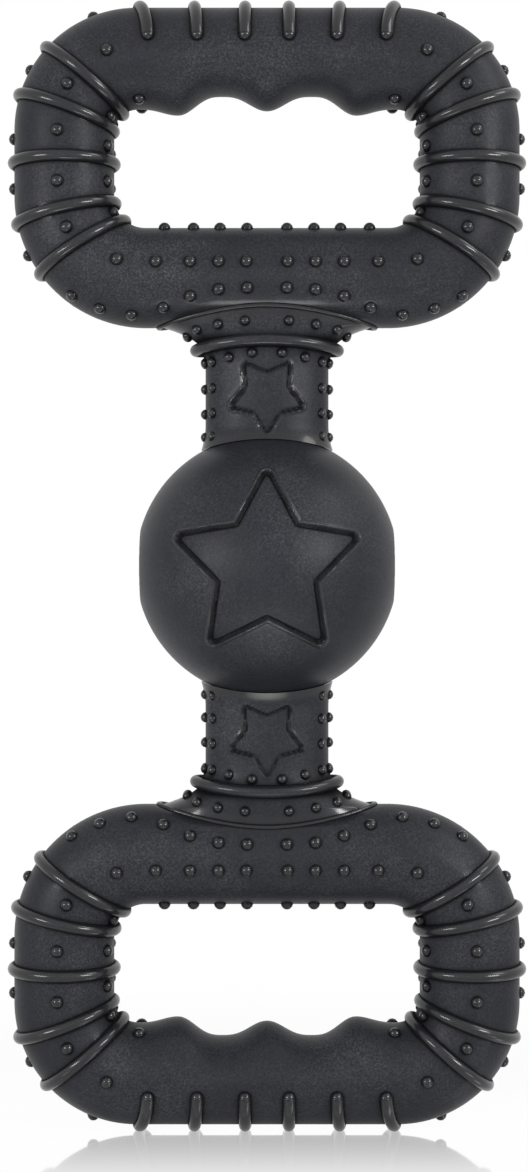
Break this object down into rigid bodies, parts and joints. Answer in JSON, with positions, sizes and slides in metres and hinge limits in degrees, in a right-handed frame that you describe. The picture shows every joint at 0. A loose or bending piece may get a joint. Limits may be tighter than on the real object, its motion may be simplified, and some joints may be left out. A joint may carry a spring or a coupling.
{
  "type": "rubber tug and chew toy",
  "caption": "Black rubber tug toy: a squeaking ball with a star recess between two looped handles that turn in it, with finger grooves, ribs, rings and nubs.",
  "frame": {"origin": "centre of the ball, which is the middle of the toy", "axes": "+Z along the toy through both handles, +X across the handles' grips to the squeaker's side, -Y to the front"},
  "size_m": [0.1332, 0.0656, 0.29],
  "materials": {
    "handle_rubber": "matt moulded rubber",
    "ball_rubber": "matt moulded rubber",
    "squeaker_plastic": "moulded plastic",
    "reed_plastic": "thin film"
  },
  "bodies": {
    "ball": {"ball_front_shell": "ball_rubber", "ball_rear_shell": "ball_rubber", "squeaker_housing": "squeaker_plastic", "squeaker_cap": "squeaker_plastic"},
    "upper_handle": {"upper_handle": "handle_rubber"},
    "lower_handle": {"lower_handle": "handle_rubber"},
    "reed": {"squeaker_reed": "reed_plastic"}
  },
  "joints": [
    {"name": "upper_swivel", "type": "hinge", "parent": "ball", "child": "upper_handle", "pos_m": [0, 0, 0.03], "axis": [0, 0, 1], "continuous": true},
    {"name": "lower_swivel", "type": "hinge", "parent": "ball", "child": "lower_handle", "pos_m": [0, 0, -0.03], "axis": [0, 0, 1], "continuous": true},
    {"name": "reed_flex", "type": "hinge", "parent": "ball", "child": "reed", "pos_m": [0.02245, 0, -0.005], "axis": [0, -1, 0], "range_deg": [0, 6], "stiffness_Nm_per_rad": 0.02}
  ]
}
